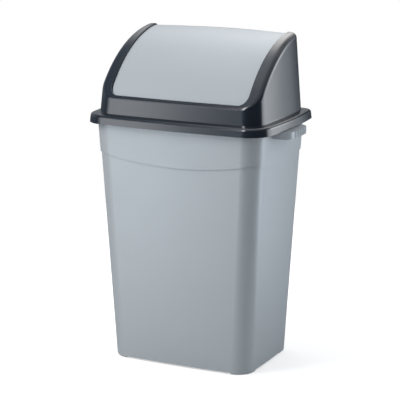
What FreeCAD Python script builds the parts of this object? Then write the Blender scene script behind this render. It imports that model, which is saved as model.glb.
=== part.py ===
import FreeCAD, Part
import math
import os

import Sketcher
from FreeCAD import Placement, Rotation, Vector

# Swing-top kitchen bin of about 50 litres: a tapered bucket, a hood that sits over its rim
# and a curved flap that swings in the hood. Front is -Y, right is +X, the floor is Z = 0.
# All lengths are in millimetres, all angles in degrees.

SIZES = (
    # The bucket's wall, measured outside, at the floor and at the rim
    ("base_half_width", 151.7),
    ("base_half_depth", 102.3),
    ("rim_half_width", 177.8),
    ("rim_half_depth", 119.9),
    ("rim_height", 487.9),
    ("front_bow", 5.3),
    ("side_bow", 4.1),
    ("front_corner", 35.0),
    ("rear_corner", 20.0),
    ("bucket_wall", 2.0),
    ("bucket_floor", 2.5),
    ("base_round", 3.0),
    # The four corner feet
    ("foot_height", 3.4),
    ("foot_width", 38.7),
    ("foot_depth", 43.3),
    # The raised collar under the rim, whose lower edge sags in the middle of each side
    ("collar_proud", 2.2),
    ("collar_front_level", 404.5),
    ("collar_side_level", 405.7),
    ("collar_corner_level", 425.0),
    # The rim that turns out and down round the top of the bucket
    ("rim_side_reach", 14.4),
    ("rim_front_reach", 10.2),
    ("rim_thickness", 2.2),
    ("rim_lip", 7.0),
    ("rim_front_bow", 7.5),
    ("rim_side_bow", 8.9),
    ("rim_front_corner", 41.0),
    ("rim_rear_corner", 18.0),
    # The finger grips under the rim at both ends
    ("grip_reach", 36.0),
    ("grip_half_length", 52.0),
    ("grip_bow", 4.0),
    ("grip_corner", 22.0),
    ("grip_drop", 13.0),
    ("grip_below_rim", 10.4),
    ("grip_wall", 3.0),
    ("grip_rib_radius", 1.3),
    ("grip_rib_pitch", 8.0),
    # How the hood sits on the rim
    ("lid_gap", 0.3),
    ("skirt_gap", 0.6),
    ("seat_land", 3.0),
    # The hood's flared skirt and the flange that slopes gently over it
    ("hood_wall", 2.2),
    ("skirt_depth", 9.5),
    ("skirt_flare", 2.0),
    ("skirt_round", 6.0),
    ("shoulder_height", 7.3),
    ("flange_thickness", 2.3),
    ("flange_rise", 1.5),
    ("root_ledge", 1.0),
    ("flange_side", 17.0),
    ("flange_front", 18.4),
    # The hood's body above the flange
    ("hood_height", 155.7),
    ("side_lean", 11.3),
    ("front_lean", 13.4),
    ("rear_lean", 2.5),
    ("hood_front_corner", 35.0),
    ("hood_rear_corner", 20.0),
    ("hood_bow", 5.3),
    ("hood_crown", 4.5),
    ("band_height", 32.5),
    ("slope_foot", 42.0),
    ("crest_radius", 22.0),
    ("rail_round", 12.0),
    # The opening in the hood and the webs and bearings beside it
    ("opening_height", 36.5),
    ("rail_width", 31.7),
    ("opening_corner", 18.0),
    ("web_thickness", 2.0),
    ("web_depth", 17.0),
    ("boss_radius", 9.0),
    ("boss_length", 7.0),
    # The flap
    ("flap_recess", 3.2),
    ("flap_wall", 2.0),
    ("flap_gap", 1.0),
    ("flap_overlap", 4.5),
    ("flap_corner", 24.0),
    ("flap_lip", 8.0),
    ("lug_depth", 15.0),
    ("tail_gap", 1.5),
    ("pivot_forward", 18.0),
    ("pivot_height", 105.0),
    ("pin_radius", 4.0),
    ("pin_length", 7.0),
    ("pin_clearance", 0.05),
    # How far a cut runs past what it cuts
    ("overrun", 5.0),
)

# Directions of the hood's side view, up from the horizontal
FOOT_ANGLE = 49.5
REAR_ANGLE = -70.0
TAIL_ANGLE = -40.0

# Where the side views of the hood and the flap stand, as shares of the hood's half width
FORM_SHARES = (-1.1, -0.55, 0.0, 0.55, 1.1)

DOC = FreeCAD.newDocument("SwingBin")


def make_sheet():
    """Write the driving sizes into a spreadsheet, one alias to a cell."""
    sheet = DOC.addObject("Spreadsheet::Sheet", "Sizes")
    for row, (alias, value) in enumerate(SIZES, start=1):
        sheet.set("A%d" % row, alias)
        sheet.set("B%d" % row, str(value))
        sheet.setAlias("B%d" % row, alias)
    DOC.recompute()
    return sheet


class Size:
    """A length with its value and the expression over the sheet that gives it."""

    def __init__(self, value, text):
        self.value = float(value)
        self.text = text

    @staticmethod
    def of(other):
        return other if isinstance(other, Size) else Size(other, repr(float(other)))

    def __add__(self, other):
        other = Size.of(other)
        return Size(self.value + other.value, "(%s + %s)" % (self.text, other.text))

    def __sub__(self, other):
        other = Size.of(other)
        return Size(self.value - other.value, "(%s - %s)" % (self.text, other.text))

    def __mul__(self, other):
        other = Size.of(other)
        return Size(self.value * other.value, "(%s * %s)" % (self.text, other.text))

    def __truediv__(self, other):
        other = Size.of(other)
        return Size(self.value / other.value, "(%s / %s)" % (self.text, other.text))

    def __neg__(self):
        return Size(-self.value, "(-%s)" % self.text)


SHEET = make_sheet()
S = {alias: Size(SHEET.get(alias), "Sizes." + alias) for alias, _ in SIZES}


class Outline:
    """A rounded rectangle whose four sides bow outward, symmetrical left to right."""

    def __init__(self, half_width, half_depth, front_bow, side_bow, front_corner, rear_corner):
        self.half_width = half_width
        self.half_depth = half_depth
        self.front_radius = (half_width * half_width + front_bow * front_bow) / (front_bow * 2)
        self.side_radius = (half_depth * half_depth + side_bow * side_bow) / (side_bow * 2)
        self.front_corner = front_corner
        self.rear_corner = rear_corner


def along(start, end, length):
    """The point at a distance from start towards end."""
    step = end - start
    return start + step * (length / step.Length)


def circles_meet(first, first_radius, second, second_radius, side):
    """One of the two points where two circles in the XY plane cross."""
    gap = second - first
    reach = (first_radius ** 2 - second_radius ** 2 + gap.Length ** 2) / (2 * gap.Length)
    rise = math.sqrt(first_radius ** 2 - reach ** 2)
    foot = along(first, second, reach)
    return foot + Vector(-gap.y, gap.x, 0) * (side * rise / gap.Length)


def outline_arcs(outline, inset):
    """The eight arcs of an outline moved inward, anticlockwise from the front."""
    front_radius = outline.front_radius.value
    side_radius = outline.side_radius.value
    front_centre = Vector(0, front_radius - outline.half_depth.value, 0)
    side_centre = Vector(outline.half_width.value - side_radius, 0, 0)
    corners = {}
    for name, corner, centre, side in (
        ("front", outline.front_corner.value, front_centre, 1),
        ("rear", outline.rear_corner.value, -front_centre, -1),
    ):
        corners[name] = circles_meet(
            centre, front_radius - corner, side_centre, side_radius - corner, side
        )
    right = (
        (corners["front"], outline.front_corner.value),
        (side_centre, side_radius),
        (corners["rear"], outline.rear_corner.value),
    )
    left = [(Vector(-centre.x, centre.y, 0), radius) for centre, radius in reversed(right)]
    centres = ((front_centre, front_radius), *right, (-front_centre, front_radius), *left)
    joins = []
    for index, (centre, radius) in enumerate(centres):
        other, other_radius = centres[(index + 1) % len(centres)]
        if radius > other_radius:
            joins.append(along(centre, other, radius - inset))
        else:
            joins.append(along(other, centre, other_radius - inset))
    arcs = []
    for index, (centre, radius) in enumerate(centres):
        start = joins[index - 1] - centre
        end = joins[index] - centre
        circle = Part.Circle(centre, Vector(0, 0, 1), radius - inset)
        arcs.append(
            Part.ArcOfCircle(circle, math.atan2(start.y, start.x), math.atan2(end.y, end.x))
        )
    return arcs


def bind(sketch, constraint, name, size):
    """Add a dimension to a sketch and tie it to the sheet."""
    index = sketch.addConstraint(Sketcher.Constraint(*constraint, size.value))
    sketch.renameConstraint(index, name)
    sketch.setExpression("Constraints." + name, size.text)


def new_sketch(name, level, rotation=Rotation()):
    """A sketch parallel to XY at a level, or turned by a rotation."""
    sketch = DOC.addObject("Sketcher::SketchObject", name)
    sketch.Placement = Placement(Vector(0, 0, level.value), rotation)
    sketch.setExpression("Placement.Base.z", level.text)
    return sketch


def outline_sketch(name, outline, level, inset=Size(0, "0")):
    """A fully bound sketch of an outline at a level, moved inward by an inset."""
    sketch = new_sketch(name, level)
    sketch.addGeometry(outline_arcs(outline, inset.value), False)
    count = sketch.GeometryCount
    for index in range(count):
        sketch.addConstraint(
            Sketcher.Constraint("Tangent", index, 2, (index + 1) % count, 1)
        )
    for index in (0, 4):
        sketch.addConstraint(Sketcher.Constraint("PointOnObject", index, 3, -2))
    for index in (2, 6):
        sketch.addConstraint(Sketcher.Constraint("PointOnObject", index, 3, -1))
    radii = (
        outline.front_radius, outline.front_corner, outline.side_radius, outline.rear_corner,
        outline.front_radius, outline.rear_corner, outline.side_radius, outline.front_corner,
    )
    for index, radius in enumerate(radii):
        bind(sketch, ("Radius", index), "radius_%d" % index, radius - inset)
    front_centre = outline.front_radius - outline.half_depth
    side_centre = outline.half_width - outline.side_radius
    bind(sketch, ("DistanceY", -1, 1, 0, 3), "front_centre", front_centre)
    bind(sketch, ("DistanceY", -1, 1, 4, 3), "rear_centre", -front_centre)
    bind(sketch, ("DistanceX", -1, 1, 2, 3), "right_centre", side_centre)
    bind(sketch, ("DistanceX", -1, 1, 6, 3), "left_centre", -side_centre)
    return sketch


def loft(name, *sections):
    """A solid with straight walls between sketches."""
    solid = DOC.addObject("Part::Loft", name)
    solid.Sections = list(sections)
    solid.Solid = True
    solid.Ruled = True
    return solid


def extrude(name, sketch, length, back=None):
    """A prism from a sketch along its normal, and back the other way if asked."""
    solid = DOC.addObject("Part::Extrusion", name)
    solid.Base = sketch
    solid.DirMode = "Normal"
    solid.Solid = True
    solid.setExpression("LengthFwd", length.text)
    if back is not None:
        solid.setExpression("LengthRev", back.text)
    return solid


def fuse(name, *parts):
    solid = DOC.addObject("Part::MultiFuse", name)
    solid.Shapes = list(parts)
    return solid


def fuse_in_turn(name, base, *others):
    """Add one part after another, where their skins lie too close for a single fusion."""
    for step, other in enumerate(others, start=1):
        last = step == len(others)
        solid = DOC.addObject("Part::Fuse", name if last else "%s_%d" % (name, step))
        solid.Base = base
        solid.Tool = other
        base = solid
    return base


def common(name, *parts):
    solid = DOC.addObject("Part::MultiCommon", name)
    solid.Shapes = list(parts)
    return solid


def cut(name, base, tool):
    solid = DOC.addObject("Part::Cut", name)
    solid.Base = base
    solid.Tool = tool
    return solid


def fillet(name, base, radius, wanted):
    """Round the edges of a base that a test picks out."""
    DOC.recompute()
    solid = DOC.addObject("Part::Fillet", name)
    solid.Base = base
    solid.Edges = [
        (number, radius.value, radius.value)
        for number, edge in enumerate(base.Shape.Edges, start=1)
        if wanted(edge)
    ]
    return solid


def lies_at(level, tolerance, along_depth=False):
    """A test for edges that lie flat at one level, or only those that run front to back."""
    def test(edge):
        box = edge.BoundBox
        flat = abs(box.ZMin - level) < tolerance and abs(box.ZMax - level) < tolerance
        return flat and (box.XLength < tolerance or not along_depth)
    return test


def polygon_sketch(name, points, level, rotation=Rotation()):
    """A closed chain of lines through bound points, given as pairs of Size."""
    sketch = new_sketch(name, level, rotation)
    corners = [Vector(x.value, y.value, 0) for x, y in points]
    count = len(corners)
    for index in range(count):
        sketch.addGeometry(Part.LineSegment(corners[index], corners[(index + 1) % count]), False)
    for index in range(count):
        sketch.addConstraint(Sketcher.Constraint("Coincident", index, 2, (index + 1) % count, 1))
    for index, (x, y) in enumerate(points):
        bind(sketch, ("DistanceX", -1, 1, index, 1), "x_%d" % index, x)
        bind(sketch, ("DistanceY", -1, 1, index, 1), "y_%d" % index, y)
    return sketch


FRONT_VIEW = Rotation(Vector(1, 0, 0), 90)
SIDE_VIEW = Rotation(Vector(1, 1, 1), 120)
NOTHING = Size(0, "0")
LIMIT = 1e-3

# Levels and half sizes that more than one piece takes
SEAT = S["rim_height"] + S["lid_gap"]
SHOULDER = SEAT + S["shoulder_height"]
ROOT = SHOULDER + S["flange_rise"]
SEAT_TOP = ROOT - S["flange_thickness"]
DOME_BASE = SEAT_TOP - S["hood_wall"]
HOOD_TOP = ROOT + S["hood_height"]
SKIRT_OUT = S["skirt_gap"] + S["hood_wall"]
RIM_HALF_WIDTH = S["rim_half_width"] + S["rim_side_reach"]
RIM_HALF_DEPTH = S["rim_half_depth"] + S["rim_front_reach"]
HOOD_HALF_WIDTH = RIM_HALF_WIDTH + SKIRT_OUT - S["flange_side"]
HOOD_HALF_DEPTH = RIM_HALF_DEPTH + SKIRT_OUT - S["flange_front"]
CREST_BACK = HOOD_HALF_DEPTH - S["rear_lean"] - S["crest_radius"]
OPENING_HALF_WIDTH = HOOD_HALF_WIDTH - S["rail_width"]
FLAP_HALF_WIDTH = OPENING_HALF_WIDTH - S["flap_gap"]
PIVOT_LEVEL = ROOT + S["pivot_height"]
GRIP_BOTTOM = S["rim_height"] - S["grip_below_rim"] - S["grip_drop"]

BASE_OUTLINE = Outline(
    S["base_half_width"], S["base_half_depth"],
    S["front_bow"], S["side_bow"], S["front_corner"], S["rear_corner"],
)
TOP_OUTLINE = Outline(
    S["rim_half_width"], S["rim_half_depth"],
    S["front_bow"], S["side_bow"], S["front_corner"], S["rear_corner"],
)
RIM_OUTLINE = Outline(
    RIM_HALF_WIDTH, RIM_HALF_DEPTH,
    S["rim_front_bow"], S["rim_side_bow"], S["rim_front_corner"], S["rim_rear_corner"],
)
GRIP_OUTLINE = Outline(
    S["rim_half_width"] + S["grip_reach"], S["grip_half_length"],
    S["grip_bow"], S["grip_bow"], S["grip_corner"], S["grip_corner"],
)


def hood_outline(level):
    """The hood's outline at a level, and how far the lean has moved its middle back."""
    rise = (level - ROOT) / S["hood_height"]
    outline = Outline(
        HOOD_HALF_WIDTH - S["side_lean"] * rise,
        HOOD_HALF_DEPTH - (S["front_lean"] + S["rear_lean"]) / 2 * rise,
        S["hood_bow"], S["hood_bow"], S["hood_front_corner"], S["hood_rear_corner"],
    )
    return outline, (S["front_lean"] - S["rear_lean"]) / 2 * rise


HOOD_OUTLINE, _ = hood_outline(ROOT)


def tapered_walls(name, inset):
    """The bucket's tapered block, moved inward by an inset."""
    foot = outline_sketch(name + "_foot", BASE_OUTLINE, NOTHING, inset)
    top = outline_sketch(name + "_top", TOP_OUTLINE, S["rim_height"], inset)
    return loft(name, foot, top)


def sagging_region(name, low, half_span, rotation, wide, deep):
    """A prism over everything above a sagging arc, seen along its length."""
    sag = S["collar_corner_level"] - low
    radius = (half_span * half_span + sag * sag) / (sag * 2)
    top = S["rim_height"]
    sketch = new_sketch(name + "_sketch", NOTHING, rotation)
    half_turn = math.asin(wide.value / radius.value)
    centre = Vector(0, low.value + radius.value, 0)
    circle = Part.Circle(centre, Vector(0, 0, 1), radius.value)
    arc = Part.ArcOfCircle(circle, -math.pi / 2 - half_turn, -math.pi / 2 + half_turn)
    corners = (
        arc.EndPoint, Vector(wide.value, top.value, 0),
        Vector(-wide.value, top.value, 0), arc.StartPoint,
    )
    sketch.addGeometry(arc, False)
    for start, end in zip(corners, corners[1:]):
        sketch.addGeometry(Part.LineSegment(start, end), False)
    count = sketch.GeometryCount
    for index in range(count):
        sketch.addConstraint(Sketcher.Constraint("Coincident", index, 2, (index + 1) % count, 1))
    sketch.addConstraint(Sketcher.Constraint("Vertical", 1))
    sketch.addConstraint(Sketcher.Constraint("Horizontal", 2))
    sketch.addConstraint(Sketcher.Constraint("Vertical", 3))
    sketch.addConstraint(Sketcher.Constraint("PointOnObject", 0, 3, -2))
    bind(sketch, ("Radius", 0), "radius", radius)
    bind(sketch, ("DistanceY", -1, 1, 0, 3), "centre", low + radius)
    bind(sketch, ("DistanceX", -1, 1, 1, 2), "right", wide)
    bind(sketch, ("DistanceX", -1, 1, 3, 1), "left", -wide)
    bind(sketch, ("DistanceY", -1, 1, 2, 1), "top", top)
    return extrude(name, sketch, deep, deep)


def make_collar():
    """The proud band under the rim, trimmed along its sagging lower edge."""
    block = tapered_walls("collar_block", -S["collar_proud"])
    over_front = sagging_region(
        "collar_over_front", S["collar_front_level"], S["rim_half_width"],
        FRONT_VIEW, RIM_HALF_WIDTH, RIM_HALF_DEPTH,
    )
    over_side = sagging_region(
        "collar_over_side", S["collar_side_level"], S["rim_half_depth"],
        SIDE_VIEW, RIM_HALF_DEPTH, RIM_HALF_WIDTH,
    )
    return common("collar", block, fuse("collar_region", over_front, over_side))


def make_rim():
    """The plate and lip that turn out and down round the top of the bucket."""
    bottom = S["rim_height"] - S["rim_lip"]
    block = extrude(
        "rim_block", outline_sketch("rim_outline", RIM_OUTLINE, bottom), S["rim_lip"]
    )
    inside = extrude(
        "rim_inside",
        outline_sketch("rim_inside_outline", RIM_OUTLINE, bottom, S["rim_thickness"]),
        S["rim_lip"] - S["rim_thickness"], S["overrun"],
    )
    return cut("rim", block, inside)


def grip_rib_sketch(name, level):
    """Small circles along the outer faces of both grips, evenly spaced."""
    sketch = new_sketch(name, level)
    radius = GRIP_OUTLINE.side_radius
    centre = GRIP_OUTLINE.half_width - radius
    straight = S["grip_half_length"] - S["grip_corner"]
    steps = int(straight.value / S["grip_rib_pitch"].value)
    for side in (1, -1):
        for step in range(-steps, steps + 1):
            across = S["grip_rib_pitch"] * step
            offset = radius * radius - across * across
            out = centre + Size(math.sqrt(offset.value), "sqrt(%s)" % offset.text)
            if side < 0:
                out = -out
            first = sketch.GeometryCount
            circle = Part.Circle(
                Vector(out.value, across.value, 0), Vector(0, 0, 1),
                S["grip_rib_radius"].value,
            )
            sketch.addGeometry(circle, False)
            bind(sketch, ("Radius", first), "radius_%d" % first, S["grip_rib_radius"])
            bind(sketch, ("DistanceX", -1, 1, first, 3), "out_%d" % first, out)
            bind(sketch, ("DistanceY", -1, 1, first, 3), "across_%d" % first, across)
    return sketch


def make_grips():
    """Return one slab through the bucket that ends in both grips, and their finger spaces."""
    block = extrude(
        "grip_block", outline_sketch("grip_outline", GRIP_OUTLINE, GRIP_BOTTOM), S["grip_drop"]
    )
    ribs = extrude(
        "grip_ribs", grip_rib_sketch("grip_rib_circles", GRIP_BOTTOM), S["grip_drop"]
    )
    room = extrude(
        "finger_room",
        outline_sketch("finger_outline", GRIP_OUTLINE, GRIP_BOTTOM, S["grip_wall"]),
        S["grip_drop"] - S["grip_wall"], S["overrun"],
    )
    fingers = cut("finger_spaces", room, tapered_walls("finger_stop", -S["collar_proud"]))
    return fuse("grips_solid", block, ribs), fingers


def foot_slot(name, half_length, rotation, half_reach):
    """A channel under the floor that leaves a foot with sloped ends at each corner."""
    spread = S["foot_height"] + S["overrun"]
    wide = half_length + spread
    points = (
        (-half_length, S["foot_height"]), (-wide, -S["overrun"]),
        (wide, -S["overrun"]), (half_length, S["foot_height"]),
    )
    sketch = polygon_sketch(name + "_sketch", points, NOTHING, rotation)
    deep = half_reach + S["overrun"]
    return extrude(name, sketch, deep, deep)


def make_bucket():
    """The whole container as one moulding."""
    block = fillet(
        "wall_rounded", tapered_walls("wall_block", NOTHING), S["base_round"],
        lies_at(0, LIMIT),
    )
    inside = tapered_walls("inside_block", S["bucket_wall"])
    floor = DOC.addObject("Part::Box", "floor_box")
    for length, half in (("Length", S["base_half_width"]), ("Width", S["base_half_depth"])):
        floor.setExpression(length, (half * 2).text)
    floor.setExpression("Height", (S["foot_height"] + S["bucket_floor"]).text)
    floor.setExpression("Placement.Base.x", (-S["base_half_width"]).text)
    floor.setExpression("Placement.Base.y", (-S["base_half_depth"]).text)
    cavity = cut("cavity", inside, floor)
    grips, fingers = make_grips()
    outside = fuse("bucket_outside", block, make_collar(), make_rim(), grips)
    slots = (
        foot_slot(
            "front_slot", S["base_half_width"] - S["foot_width"], FRONT_VIEW,
            S["base_half_depth"],
        ),
        foot_slot(
            "side_slot", S["base_half_depth"] - S["foot_depth"], SIDE_VIEW,
            S["base_half_width"],
        ),
    )
    hollows = fuse("bucket_hollows", cavity, fingers, *slots)
    return cut("bucket", outside, hollows)


def arc_about(centre, radius, start, end):
    """An arc in a side view between two headings, in degrees up from the rear."""
    def at(heading):
        angle = math.radians(heading)
        return centre + Vector(0, -math.sin(angle), math.cos(angle)) * radius
    return Part.Arc(at(start), at((start + end) / 2), at(end)).toShape()


class SideView:
    """The hood's side view at a share of its half width, moved inward by an inset.

    Up from the band at the front it has the slope's straight foot, the long arc of the slope
    and the crest. The two arcs keep their centres at every share and inset.
    """

    def __init__(self, share, inset):
        across = HOOD_HALF_WIDTH.value * share
        fall = S["hood_crown"].value * share ** 2 + inset
        angle = math.radians(FOOT_ANGLE)
        self.up = Vector(0, math.cos(angle), math.sin(angle))
        inward = Vector(0, math.sin(angle), -math.cos(angle))

        lean = S["front_lean"] * S["band_height"] / S["hood_height"]
        bend = Vector(
            across, (lean - HOOD_HALF_DEPTH).value, (ROOT + S["band_height"]).value
        )
        foot_top = bend + self.up * S["slope_foot"].value
        radius = S["crest_radius"].value
        self.crest = Vector(across, CREST_BACK.value, HOOD_TOP.value - radius)
        step = foot_top - self.crest
        slope_radius = (radius ** 2 - step.dot(step)) / (2 * (step.dot(inward) + radius))
        self.centre = foot_top + inward * slope_radius
        between = self.crest - self.centre
        self.join = math.degrees(math.atan2(-between.y, between.z))

        self.slope_radius = slope_radius - fall
        self.crest_radius = radius - fall
        self.foot_top = foot_top + inward * fall

    def foot(self, level):
        """The point at a level on the line of the slope's foot."""
        return self.foot_top + self.up * ((level - self.foot_top.z) / self.up.z)

    def curves(self, low, end):
        """The foot up from a level, the slope and the crest down to a heading."""
        return [
            Part.makeLine(self.foot(low), self.foot_top),
            arc_about(self.centre, self.slope_radius, FOOT_ANGLE, self.join),
            arc_about(self.crest, self.crest_radius, self.join, end),
        ]

    def closed(self):
        """All that lies under the slope and the crest, out past the front and rear walls."""
        low = DOME_BASE.value
        curves = self.curves(low, REAR_ANGLE)
        end = curves[-1].Vertexes[-1].Point
        back = (HOOD_HALF_DEPTH + S["overrun"]).value
        fall = (back - end.y) * math.tan(math.radians(REAR_ANGLE))
        corners = (
            end, Vector(end.x, back, end.z + fall), Vector(end.x, back, low), self.foot(low)
        )
        lines = [Part.makeLine(*pair) for pair in zip(corners, corners[1:])]
        return Part.Wire(curves + lines)


def made_shape(name, shape):
    part = DOC.addObject("Part::Feature", name)
    part.Shape = shape
    return part


def hood_walls(name, inset):
    """The block inside the hood's four leaning walls, moved inward by an inset."""
    sections = []
    for word, level in (("low", DOME_BASE), ("high", HOOD_TOP + S["overrun"])):
        outline, back = hood_outline(level)
        sketch = outline_sketch("%s_%s" % (name, word), outline, level, inset)
        sketch.setExpression("Placement.Base.y", back.text)
        sections.append(sketch)
    return loft(name, *sections)


def sharp_dome(name, inset):
    """The hood's body with sharp upper edges: its walls, cut off by the slope and the crest."""
    wires = [SideView(share, inset.value).closed() for share in FORM_SHARES]
    form = made_shape(name + "_form", Part.makeLoft(wires, True, False))
    return common(name + "_sharp", hood_walls(name + "_walls", inset), form)


def dome(name, inset=NOTHING):
    """The hood's body with the upper edges rounded into rails."""
    def above_root(edge):
        return edge.BoundBox.ZMin > ROOT.value
    return fillet(name, sharp_dome(name, inset), S["rail_round"] - inset, above_root)


def flap_sheet(name, outer, inner):
    """A curved sheet between two insets under the hood's surface."""
    level = (ROOT + S["opening_height"] - S["flap_overlap"]).value
    wires = []
    for share in FORM_SHARES:
        outside = SideView(share, outer.value).curves(level, TAIL_ANGLE)
        inside = SideView(share, inner.value).curves(level, TAIL_ANGLE)
        ends = [
            Part.makeLine(outside[at].Vertexes[at].Point, inside[at].Vertexes[at].Point)
            for at in (0, -1)
        ]
        wires.append(Part.Wire(Part.sortEdges(outside + inside + ends)[0]))
    return made_shape(name, Part.makeLoft(wires, True, False))


def front_prism(name, half_width, bottom, corner, rear):
    """A prism through the hood from the front, with two round corners at its foot."""
    low, high = ROOT + bottom, HOOD_TOP + S["overrun"]
    points = ((-half_width, low), (half_width, low), (half_width, high), (-half_width, high))
    block = extrude(
        name + "_block", polygon_sketch(name + "_sketch", points, NOTHING, FRONT_VIEW),
        HOOD_HALF_DEPTH + S["overrun"], rear,
    )
    return fillet(name, block, corner, lies_at(low.value, LIMIT, along_depth=True))


def side_strips(name, inner, thickness, bottom):
    """Two upright strips through the hood, for the webs or the flap's lips."""
    strips = []
    for side, word in ((1, "right"), (-1, "left")):
        box = DOC.addObject("Part::Box", "%s_%s" % (name, word))
        box.setExpression("Length", thickness.text)
        box.setExpression("Width", (HOOD_HALF_DEPTH * 2).text)
        box.setExpression("Height", (S["hood_height"] - bottom).text)
        start = inner if side > 0 else -(inner + thickness)
        box.setExpression("Placement.Base.x", start.text)
        box.setExpression("Placement.Base.y", (-HOOD_HALF_DEPTH).text)
        box.setExpression("Placement.Base.z", (ROOT + bottom).text)
        strips.append(box)
    return fuse(name, *strips)


def pivot_rounds(name, radius, start, length):
    """Two cylinders on the flap's axis, one at each side, that run outward from a start."""
    rounds = []
    for side, word in ((1, "right"), (-1, "left")):
        cylinder = DOC.addObject("Part::Cylinder", "%s_%s" % (name, word))
        cylinder.Placement = Placement(Vector(), Rotation(Vector(0, 1, 0), 90 * side))
        cylinder.setExpression("Radius", radius.text)
        cylinder.setExpression("Height", length.text)
        reach = start if side > 0 else -start
        cylinder.setExpression("Placement.Base.x", reach.text)
        cylinder.setExpression("Placement.Base.y", (-S["pivot_forward"]).text)
        cylinder.setExpression("Placement.Base.z", PIVOT_LEVEL.text)
        rounds.append(cylinder)
    return fuse(name, *rounds)


def flared(name, inset, bottom, top):
    """A block round the rim whose sides flare outward down to its bottom."""
    return loft(
        name,
        outline_sketch(name + "_low", RIM_OUTLINE, bottom, inset - S["skirt_flare"]),
        outline_sketch(name + "_high", RIM_OUTLINE, top, inset),
    )


def make_skirt():
    """The flared skirt and the flange above it, as a solid block with a rounded shoulder."""
    skirt = flared("skirt_block", -SKIRT_OUT, SEAT - S["skirt_depth"], SHOULDER)
    slope = loft(
        "flange_block",
        outline_sketch("flange_outline", RIM_OUTLINE, SHOULDER, -SKIRT_OUT),
        outline_sketch("flange_root_outline", HOOD_OUTLINE, ROOT, -S["root_ledge"]),
    )
    block = fuse("skirt_and_flange", skirt, slope)
    return fillet("skirt_rounded", block, S["skirt_round"], lies_at(SHOULDER.value, LIMIT))


def make_hood_hollows():
    """The space that the rim fills under the flange, and the room inside the hood."""
    bottom = SEAT - S["skirt_depth"] - S["overrun"]
    rim_space = flared("rim_space", -S["skirt_gap"], bottom, SEAT)
    seat_space = loft(
        "seat_space",
        outline_sketch("seat_outline", RIM_OUTLINE, SEAT, S["seat_land"]),
        outline_sketch(
            "seat_roof_outline", RIM_OUTLINE, SHOULDER - S["flange_thickness"], S["seat_land"]
        ),
        outline_sketch("seat_root_outline", HOOD_OUTLINE, SEAT_TOP, S["hood_wall"]),
    )
    return rim_space, seat_space, dome("dome_room", S["hood_wall"])


def make_hood():
    """The whole lid as one moulding, open where the flap swings."""
    outer = dome("dome_block")
    shell = fuse("hood_block", make_skirt(), outer)
    for step, hollow in enumerate(make_hood_hollows(), start=1):
        shell = cut("hood_shell_%d" % step, shell, hollow)
    tail = Size(math.sin(math.radians(-TAIL_ANGLE)), "sin(%r)" % -TAIL_ANGLE)
    rear = CREST_BACK + (S["crest_radius"] - S["flap_recess"]) * tail + S["tail_gap"]
    opening = front_prism(
        "flap_opening", OPENING_HALF_WIDTH, S["opening_height"], S["opening_corner"], rear
    )
    open_shell = cut("open_shell", shell, opening)

    skin = cut("web_skin", outer, sharp_dome("web_core", S["web_depth"]))
    strips = side_strips(
        "web_strips", OPENING_HALF_WIDTH, S["web_thickness"], S["opening_height"]
    )
    webs = common("webs", skin, strips)
    bosses = common(
        "bosses", skin,
        pivot_rounds("boss_rounds", S["boss_radius"], OPENING_HALF_WIDTH, S["boss_length"]),
    )
    bores = pivot_rounds(
        "bores", S["pin_radius"] + S["pin_clearance"], OPENING_HALF_WIDTH - S["overrun"],
        S["boss_length"] + S["overrun"] * 2,
    )
    return cut("hood", fuse("hood_with_webs", open_shell, webs, bosses), bores)


def make_flap():
    """The swing panel as one moulding, with its edge lips and pivot pins."""
    recess, wall = S["flap_recess"], S["flap_wall"]
    bottom = S["opening_height"] - S["flap_overlap"]
    front_view = front_prism(
        "flap_front_view", FLAP_HALF_WIDTH, bottom, S["flap_corner"], HOOD_HALF_DEPTH
    )
    sheet = common("flap_sheet", flap_sheet("flap_band", recess, recess + wall), front_view)
    within = recess + wall / 2
    inner = FLAP_HALF_WIDTH - wall
    deep = flap_sheet("flap_lip_band", within, recess + S["flap_lip"])
    lips = common("flap_lips", deep, side_strips("lip_strips", inner, wall, bottom), front_view)
    lug_band = flap_sheet("lug_band", within, recess + S["lug_depth"])
    lugs = common(
        "lugs", lug_band, pivot_rounds("lug_rounds", S["boss_radius"], inner, wall)
    )
    pins = pivot_rounds("pins", S["pin_radius"], inner, wall + S["pin_length"])
    return fuse_in_turn("flap", sheet, lips, lugs, pins)


def check(part):
    """Stop if an object failed or a shape is not a sound solid."""
    if part.Shape.isNull() or not part.Shape.isValid():
        raise ValueError("%s has no valid shape" % part.Label)
    print(part.Label, "solids", len(part.Shape.Solids), "volume", round(part.Shape.Volume))


def main():
    parts = (make_bucket(), make_hood(), make_flap())
    DOC.recompute()
    failed = [
        item.Name for item in DOC.Objects if "Invalid" in item.State or "Error" in item.State
    ]
    if failed:
        raise ValueError("failed objects: " + ", ".join(failed))
    for part in parts:
        check(part)
    os.makedirs("parts", exist_ok=True)
    for part in parts:
        part.Shape.exportStep(os.path.join("parts", part.Label + ".step"))


main()
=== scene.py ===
# A swing-top bin in a soft studio: looks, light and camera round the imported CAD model.
# Lengths are in metres: front is -Y, right is +X and the floor is Z = 0.
# Azimuths are in degrees from the front, positive to the right, and elevations are up from level.

import math
from collections import namedtuple

import bpy
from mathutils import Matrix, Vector

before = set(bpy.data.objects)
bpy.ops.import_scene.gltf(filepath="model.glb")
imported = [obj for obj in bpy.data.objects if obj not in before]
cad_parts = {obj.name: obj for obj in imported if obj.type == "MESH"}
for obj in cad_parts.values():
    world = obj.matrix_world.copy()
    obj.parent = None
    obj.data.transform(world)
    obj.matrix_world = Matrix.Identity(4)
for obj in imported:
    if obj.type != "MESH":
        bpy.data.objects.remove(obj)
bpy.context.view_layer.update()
scene = bpy.context.scene

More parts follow.
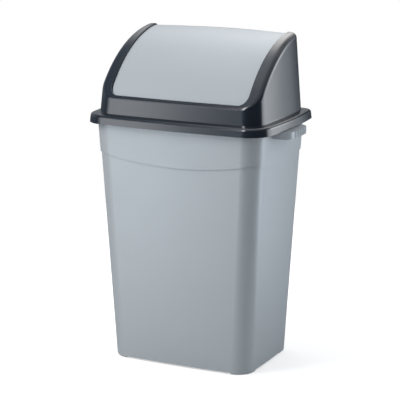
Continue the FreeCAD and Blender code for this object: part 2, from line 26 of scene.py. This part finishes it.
# Camera: its sensor and lens in millimetres, and the shift of its view in pixels of the picture
SENSOR_WIDTH = 36.0
LENS = 150.0
VIEW_SHIFT = 0.7
PICTURE_WIDTH = 400
CAMERA_AZIMUTH = 26.13
CAMERA_ELEVATION = 13.52
CAMERA_DISTANCE = 3.310
CAMERA_HEIGHT = 0.3149
CLIP_START, CLIP_END = 0.1, 60.0

# Moulded plastic: scales of its noises per metre, the range that they mostly keep to, and its grain
CLOUD_SCALE = 5.0
GLOSS_SCALE = 22.0
GRAIN_SCALE = 700.0
NOISE_LOW, NOISE_HIGH = 0.3, 0.7
GRAIN_STRENGTH = 0.03
GRAIN_DEPTH = 0.0002

# World and floor
WHITE = (1, 1, 1, 1)
FILL_TINT = (0.96, 1.0, 1.04, 1)
FILL_LEVEL = 0.42
FLOOR_RADIUS = 1.3
FLOOR_SIDES = 96
FLOOR_GAP = 0.0002
FLOOR_COLOUR = (0.75, 0.75, 0.75, 1)
FLOOR_GLOW = (0.5, 0.5, 0.5, 1)

# Lamps, whose tints are red, green and blue
Lamp = namedtuple("Lamp", "name azimuth elevation distance width height level tint")
LAMP_TARGET = 0.33
LAMPS = (
    Lamp("key", -50, 35, 3.4, 2.2, 2.2, 5.6, (1.03, 1.0, 0.97)),
    Lamp("side", 130, 20, 2.6, 1.2, 1.6, 4.0, (1, 1, 1)),
    Lamp("top", -120, 70, 2.2, 1.6, 1.2, 2.0, (1.05, 1.0, 0.95)),
)

# Tent: a dark ball round the bin that only the gloss sees, with soft-edged panels of light on its
# inside. A panel's edges are azimuths and elevations, its soft edges are widths in degrees, and a
# warmth above 0 adds red and takes blue. A negative level is a flag, which takes light away.
Panel = namedtuple("Panel", "left right side_soft low high end_soft level warmth")
TENT_RADIUS = 1.2
TENT_HEIGHT = 0.35
TENT_COLUMNS, TENT_ROWS = 120, 60
TENT_DARK = 0.05
DARK_WARMTH = -0.20
PANELS = (
    # For the fronts of the bucket, band and skirt: more on the left, then right across
    Panel(-47, -23, 22, -26, 25, 24, 0.90, -0.03),
    Panel(-47, -4, 16, -26, 25, 24, 0.72, -0.03),
    # Flag that dims the right end of the band and of the skirt's front
    Panel(-25, 0, 16, 0, 14, 10, -0.35, 0.08),
    # Glints where the band and the skirt turn the right front corner
    Panel(-6, 0, 6, 18, 52, 8, 9.00, 0.0),
    # For the right sides of the bucket and hood: more near the front, then right along
    Panel(106, 143, 14, -26, 25, 24, 1.06, -0.03),
    Panel(106, 155, 8, -26, 25, 24, 0.50, -0.08),
    # Flag that keeps the bucket's right front corner dark down to its foot
    Panel(92, 122, 14, -70, -22, 20, -1.30, 0.0),
    # Streak along the fold between the right rail and the side wall
    Panel(128, 146, 8, 8, 24, 6, 0.90, 0.0),
    # Faint rim along the left rail, the ends of the skirt and the crest
    Panel(180, 298, 14, 4, 35, 20, 0.20, -0.05),
    # For the upper part of the flap and of the rails, and a flag for the end of the right rail
    Panel(152, 214, 80, 34, 68, 24, 1.88, 0.03),
    Panel(138, 166, 24, 38, 62, 16, -0.80, 0.0),
    # Overhead, for the flap and the rails, brighter at the top, and a flag for the left rail
    Panel(-180, 180, 1, 40, 120, 20, 0.30, -0.04),
    Panel(-180, 180, 1, 68, 120, 16, 0.30, 0.0),
    Panel(-130, -50, 24, 40, 61, 10, -0.17, 0.0),
)


# Places and directions
def round_the_bin(azimuth, elevation, distance, height):
    """The point at this azimuth, elevation and distance from the bin's axis at this height."""
    a, e = math.radians(azimuth), math.radians(elevation)
    return Vector((
        distance * math.sin(a) * math.cos(e),
        -distance * math.cos(a) * math.cos(e),
        height + distance * math.sin(e),
    ))


def aim(obj, target):
    obj.rotation_euler = (Vector(target) - obj.location).to_track_quat("-Z", "Y").to_euler()


# Shader nodes
class Nodes:
    """The emptied node tree of a material or world."""

    def __init__(self, owner):
        owner.use_nodes = True
        self.tree = owner.node_tree
        self.tree.nodes.clear()

    def add(self, kind, inputs=None, **settings):
        node = self.tree.nodes.new(kind)
        for name, value in settings.items():
            setattr(node, name, value)
        for name, value in (inputs or {}).items():
            node.inputs[name].default_value = value
        return node

    def link(self, start, end):
        self.tree.links.new(start, end)

    def noise(self, place, scale, detail):
        node = self.add(
            "ShaderNodeTexNoise", {"Scale": scale, "Detail": detail, "Roughness": 0.5}
        )
        self.link(place.outputs["Object"], node.inputs["Vector"])
        return node.outputs["Fac"]

    def seen(self):
        """1 for the rays that the camera, gloss and glass see by, 0 for those that give light."""
        path = self.add("ShaderNodeLightPath")
        either = self.add("ShaderNodeMath", operation="MAXIMUM")
        any_of = self.add("ShaderNodeMath", operation="MAXIMUM")
        self.link(path.outputs["Is Camera Ray"], either.inputs[0])
        self.link(path.outputs["Is Glossy Ray"], either.inputs[1])
        self.link(either.outputs[0], any_of.inputs[0])
        self.link(path.outputs["Is Transmission Ray"], any_of.inputs[1])
        return any_of.outputs[0]


def socket(sockets, name, kind):
    """The socket of this name and kind: a Mix node has several of each name."""
    return next(s for s in sockets if s.name == name and s.type == kind)


# Materials
def moulded_plastic(name, shade, tone, roughness, finish):
    """Moulded plastic: a colour clouded from shade to tone, an uneven gloss and a fine grain."""
    material = bpy.data.materials.new(name)
    n = Nodes(material)
    out = n.add("ShaderNodeOutputMaterial")
    skin = n.add("ShaderNodeBsdfPrincipled", finish)
    place = n.add("ShaderNodeTexCoord")
    n.link(skin.outputs["BSDF"], out.inputs["Surface"])

    cloud = n.add("ShaderNodeMix", data_type="RGBA")
    socket(cloud.inputs, "A", "RGBA").default_value = (*shade, 1)
    socket(cloud.inputs, "B", "RGBA").default_value = (*tone, 1)
    n.link(n.noise(place, CLOUD_SCALE, 3.0), socket(cloud.inputs, "Factor", "VALUE"))
    n.link(socket(cloud.outputs, "Result", "RGBA"), skin.inputs["Base Color"])

    gloss = n.add("ShaderNodeMapRange", {
        "From Min": NOISE_LOW, "From Max": NOISE_HIGH,
        "To Min": roughness[0], "To Max": roughness[1],
    })
    n.link(n.noise(place, GLOSS_SCALE, 3.0), gloss.inputs["Value"])
    n.link(gloss.outputs["Result"], skin.inputs["Roughness"])

    grain = n.add("ShaderNodeBump", {"Strength": GRAIN_STRENGTH, "Distance": GRAIN_DEPTH})
    n.link(n.noise(place, GRAIN_SCALE, 2.0), grain.inputs["Height"])
    n.link(grain.outputs["Normal"], skin.inputs["Normal"])
    return material


def dress_the_bin():
    """Silver plastic with metal flakes on the bucket and flap, polished near-black on the hood."""
    silver = moulded_plastic(
        "silver_plastic",
        shade=(0.46, 0.504, 0.543),
        tone=(0.48, 0.524, 0.563),
        roughness=(0.33, 0.38),
        finish={"Metallic": 0.25, "Specular IOR Level": 0.35},
    )
    dark = moulded_plastic(
        "dark_plastic",
        shade=(0.007, 0.012, 0.022),
        tone=(0.008, 0.0135, 0.025),
        roughness=(0.20, 0.24),
        finish={"Specular IOR Level": 1.0, "Coat Weight": 1.0, "Coat Roughness": 0.12},
    )
    for name, material in (("bucket", silver), ("flap", silver), ("hood", dark)):
        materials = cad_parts[name].data.materials
        materials.clear()
        materials.append(material)


# Camera, world and floor
def make_camera():
    camera = bpy.data.objects.new("camera", bpy.data.cameras.new("camera"))
    scene.collection.objects.link(camera)
    camera.data.sensor_width = SENSOR_WIDTH
    camera.data.lens = LENS
    camera.data.shift_y = VIEW_SHIFT / PICTURE_WIDTH
    camera.data.clip_start, camera.data.clip_end = CLIP_START, CLIP_END
    camera.location = round_the_bin(
        CAMERA_AZIMUTH, CAMERA_ELEVATION, CAMERA_DISTANCE, CAMERA_HEIGHT
    )
    aim(camera, (0, 0, CAMERA_HEIGHT))
    scene.camera = camera


def make_world():
    """A soft light all round that is plain white where it is seen."""
    scene.world = bpy.data.worlds.new("studio")
    n = Nodes(scene.world)
    out = n.add("ShaderNodeOutputWorld")
    either = n.add("ShaderNodeMixShader")
    fill = n.add("ShaderNodeBackground", {"Color": FILL_TINT, "Strength": FILL_LEVEL})
    backdrop = n.add("ShaderNodeBackground", {"Color": WHITE, "Strength": 1.0})
    n.link(n.seen(), either.inputs[0])
    n.link(fill.outputs[0], either.inputs[1])
    n.link(backdrop.outputs[0], either.inputs[2])
    n.link(either.outputs[0], out.inputs["Surface"])


def make_floor():
    """A pale disc just under the feet that keeps the bin's shadow and is plain white elsewhere."""
    bpy.ops.mesh.primitive_circle_add(
        vertices=FLOOR_SIDES, radius=FLOOR_RADIUS, fill_type="NGON", location=(0, 0, -FLOOR_GAP)
    )
    floor = bpy.context.object
    floor.name = "floor"
    floor.visible_glossy = False
    pale = bpy.data.materials.new("pale_floor")
    n = Nodes(pale)
    out = n.add("ShaderNodeOutputMaterial")
    both = n.add("ShaderNodeAddShader")
    matt = n.add("ShaderNodeBsdfDiffuse", {"Color": FLOOR_COLOUR})
    glow = n.add("ShaderNodeEmission", {"Color": FLOOR_GLOW})
    n.link(n.seen(), glow.inputs["Strength"])
    n.link(matt.outputs[0], both.inputs[0])
    n.link(glow.outputs[0], both.inputs[1])
    n.link(both.outputs[0], out.inputs["Surface"])
    floor.data.materials.append(pale)


# Lamps
def make_lamp(lamp):
    obj = bpy.data.objects.new(lamp.name, bpy.data.lights.new(lamp.name, "AREA"))
    scene.collection.objects.link(obj)
    obj.data.shape = "RECTANGLE"
    obj.data.size, obj.data.size_y = lamp.width, lamp.height
    obj.data.energy = lamp.level * lamp.width * lamp.height * math.pi
    obj.data.color = lamp.tint
    obj.location = round_the_bin(lamp.azimuth, lamp.elevation, lamp.distance, LAMP_TARGET)
    aim(obj, (0, 0, LAMP_TARGET))
    obj.visible_camera = False
    obj.visible_glossy = False


# Tent
def soft_step(beyond, width):
    """1 well inside an edge, 0 well outside it and a smooth slope of this width between."""
    share = min(max(0.5 - beyond / width, 0.0), 1.0)
    return share * share * (3 - 2 * share)


def tinted(level, warmth):
    return Vector((level * (1 + warmth), level, level * (1 - warmth)))


def tent_colour(azimuth, elevation):
    dark = tinted(TENT_DARK, DARK_WARMTH)
    colour = dark.copy()
    for panel in PANELS:
        turn = (azimuth - (panel.left + panel.right) / 2 + 180) % 360 - 180
        aside = abs(turn) - (panel.right - panel.left) / 2
        above = abs(elevation - (panel.low + panel.high) / 2) - (panel.high - panel.low) / 2
        share = soft_step(aside, panel.side_soft) * soft_step(above, panel.end_soft)
        colour += tinted(panel.level, panel.warmth) * share
    return [max(light, least) for light, least in zip(colour, dark)]


def tent_mesh():
    verts, colours = [], []
    for row in range(TENT_ROWS + 1):
        elevation = -90 + 180 * row / TENT_ROWS
        for column in range(TENT_COLUMNS):
            azimuth = -180 + 360 * column / TENT_COLUMNS
            verts.append(round_the_bin(azimuth, elevation, TENT_RADIUS, TENT_HEIGHT))
            colours += [*tent_colour(azimuth, elevation), 1.0]
    faces = []
    for start in range(0, TENT_ROWS * TENT_COLUMNS, TENT_COLUMNS):
        for column in range(TENT_COLUMNS):
            here, beside = start + column, start + (column + 1) % TENT_COLUMNS
            faces.append((here, beside, beside + TENT_COLUMNS, here + TENT_COLUMNS))
    mesh = bpy.data.meshes.new("tent")
    mesh.from_pydata(verts, [], faces)
    mesh.attributes.new("glow", "FLOAT_COLOR", "POINT").data.foreach_set("color", colours)
    return mesh


def make_tent():
    tent = bpy.data.objects.new("tent", tent_mesh())
    scene.collection.objects.link(tent)
    lining = bpy.data.materials.new("tent")
    n = Nodes(lining)
    out = n.add("ShaderNodeOutputMaterial")
    glow = n.add("ShaderNodeEmission")
    colour = n.add("ShaderNodeAttribute", attribute_name="glow")
    n.link(colour.outputs["Color"], glow.inputs["Color"])
    n.link(glow.outputs[0], out.inputs["Surface"])
    tent.data.materials.append(lining)
    tent.visible_camera = False
    tent.visible_diffuse = False
    tent.visible_shadow = False
    tent.visible_transmission = False


make_camera()
dress_the_bin()
make_world()
make_floor()
for lamp in LAMPS:
    make_lamp(lamp)
make_tent()
scene.view_settings.view_transform = "Standard"
